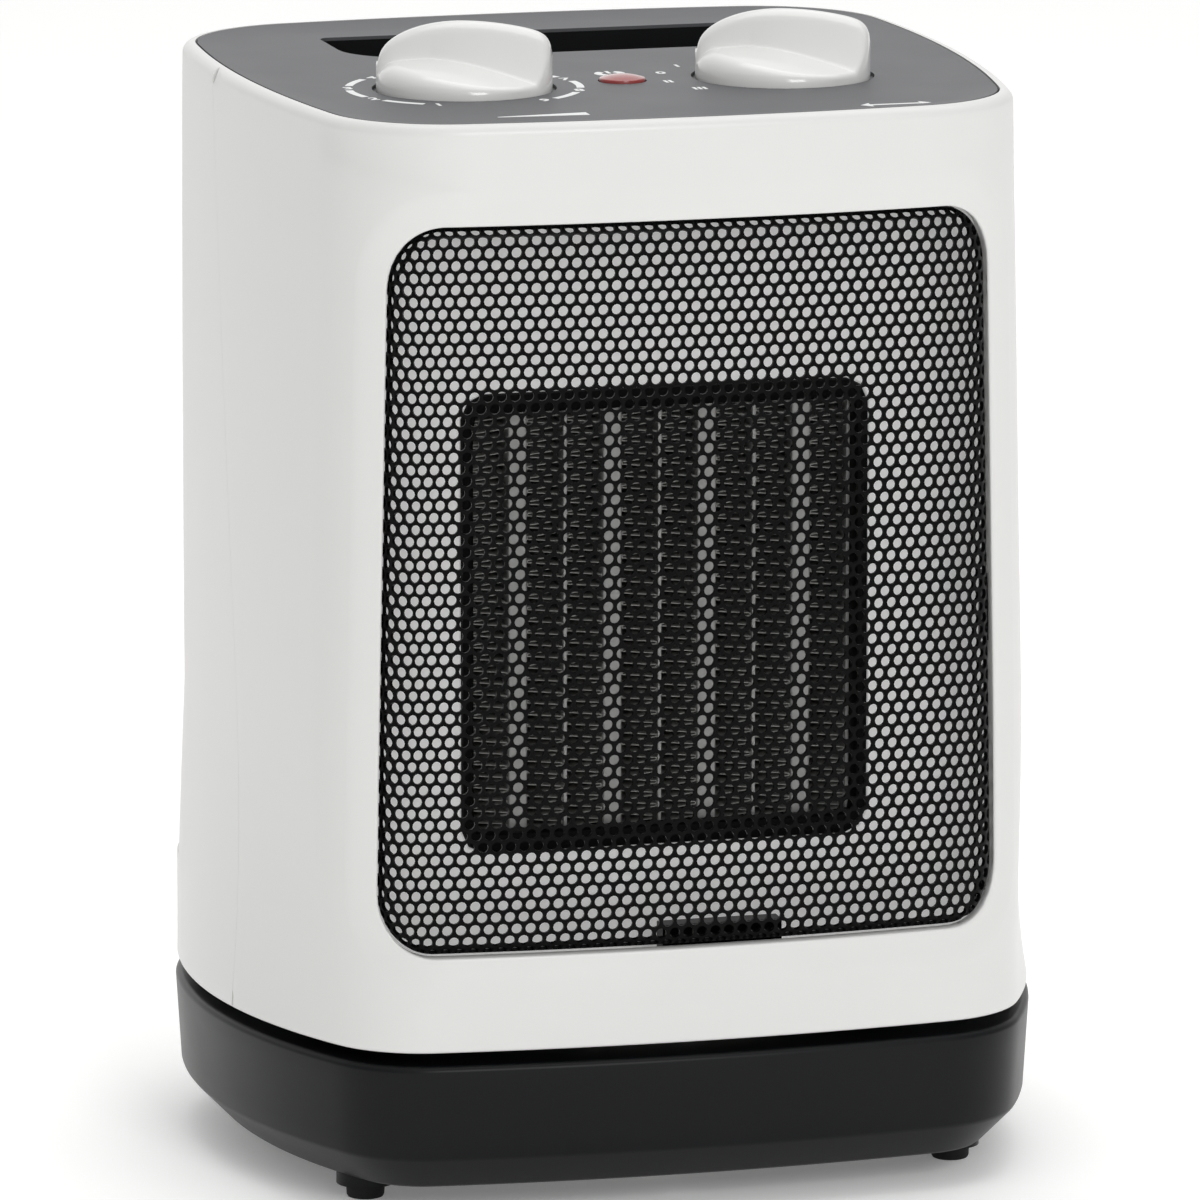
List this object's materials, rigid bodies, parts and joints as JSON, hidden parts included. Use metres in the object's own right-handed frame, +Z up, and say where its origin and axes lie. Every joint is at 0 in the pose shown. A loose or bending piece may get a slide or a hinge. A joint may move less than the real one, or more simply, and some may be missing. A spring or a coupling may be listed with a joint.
{
  "type": "ceramic space heater",
  "caption": "Upright ceramic fan heater with a perforated front grille over its element, control knobs and a hand recess on top, and a body that swings on a flat base.",
  "frame": {"origin": "on the table, under the middle of the heater", "axes": "+Z up, the warm-air grille faces -Y, +X to the right seen from the front"},
  "size_m": [0.1878, 0.1694, 0.2547],
  "materials": {
    "white_shell": "satin gloss",
    "white_knob": "gloss",
    "black_base": "satin",
    "grey_panel": "fine matt",
    "black_steel": "satin black enamel",
    "bright_plate": "bright",
    "element_aluminium": "mill",
    "black_resin": "matt",
    "steel": "zinc plated",
    "motor_steel": "laminated",
    "zinc_casting": "cast",
    "copper_winding": "enamelled wire",
    "brass": "plain",
    "acetal": "waxy",
    "filter_mesh": "woven",
    "rubber": "matt",
    "red_lens": "clear gloss",
    "lamp_glass": "clear"
  },
  "bodies": {
    "base": {"base_shell": "black_base", "base_plate": "black_base", "rubber_feet": "rubber", "base_screws": "steel", "pivot_bush": "acetal", "glide_ring": "acetal", "swing_slot_liner": "black_base", "cord_inlet": "rubber", "terminal_block": "black_resin", "tip_switch": "black_resin", "tip_spring": "steel"},
    "tip_plunger": {"tip_plunger": "acetal"},
    "fan": {"fan_wheel": "black_resin", "fan_shaft": "steel", "motor_rotor": "motor_steel"},
    "thermostat_dial": {"thermostat_knob": "white_knob", "thermostat_shaft": "steel"},
    "mode_dial": {"mode_knob": "white_knob", "mode_shaft": "steel"},
    "swing_crank": {"swing_crank": "steel", "crank_roller": "acetal"},
    "head": {"front_shell": "white_shell", "rear_shell": "white_shell", "head_floor": "black_base", "floor_screws": "steel", "spindle_retainer": "steel", "retainer_screws": "steel", "top_panel": "grey_panel", "handle_well": "black_base", "front_grille": "black_steel", "grille_retainers": "black_steel", "reflector_plate": "bright_plate", "heater_frame": "black_resin", "ptc_bars": "element_aluminium", "contact_strips": "element_aluminium", "fin_packs": "element_aluminium", "heater_terminals": "brass", "fan_shroud": "black_resin", "thermal_cutout": "black_resin", "thermal_fuse": "lamp_glass", "motor_stator": "motor_steel", "motor_coil": "copper_winding", "bearing_brackets": "zinc_casting", "motor_mount": "steel", "mount_screws": "steel", "dust_filter": "filter_mesh", "mode_switch": "black_resin", "thermostat": "steel", "pilot_lens": "red_lens", "pilot_lamp": "lamp_glass", "swing_motor": "zinc_casting"}
  },
  "joints": [
    {"name": "head_swing", "type": "hinge", "parent": "base", "child": "head", "pos_m": [0, 0, 0.0354], "axis": [0, 0, 1], "range_deg": [-30, 30]},
    {"name": "crank_turn", "type": "hinge", "parent": "head", "child": "swing_crank", "pos_m": [0, 0.036, 0.038], "axis": [0, 0, 1], "range_deg": [-88, 88]},
    {"name": "fan_spin", "type": "hinge", "parent": "head", "child": "fan", "pos_m": [0, 0, 0.127], "axis": [0, 1, 0], "continuous": true},
    {"name": "thermostat_turn", "type": "hinge", "parent": "head", "child": "thermostat_dial", "pos_m": [-0.0362, -0.0205, 0.24], "axis": [0, 0, 1], "range_deg": [-215, 85]},
    {"name": "mode_turn", "type": "hinge", "parent": "head", "child": "mode_dial", "pos_m": [0.0362, -0.0205, 0.24], "axis": [0, 0, 1], "range_deg": [-52, 52]},
    {"name": "tip_plunger_slide", "type": "slide", "parent": "base", "child": "tip_plunger", "axis": [0, 0, -1], "range_m": [0, 0.005], "stiffness_N_per_m": 80, "springref_m": 0.008, "deforming": ["tip_spring"]}
  ],
  "couplings": [
    {"joint": "crank_turn", "follows": "head_swing", "ratio": -2.9}
  ]
}
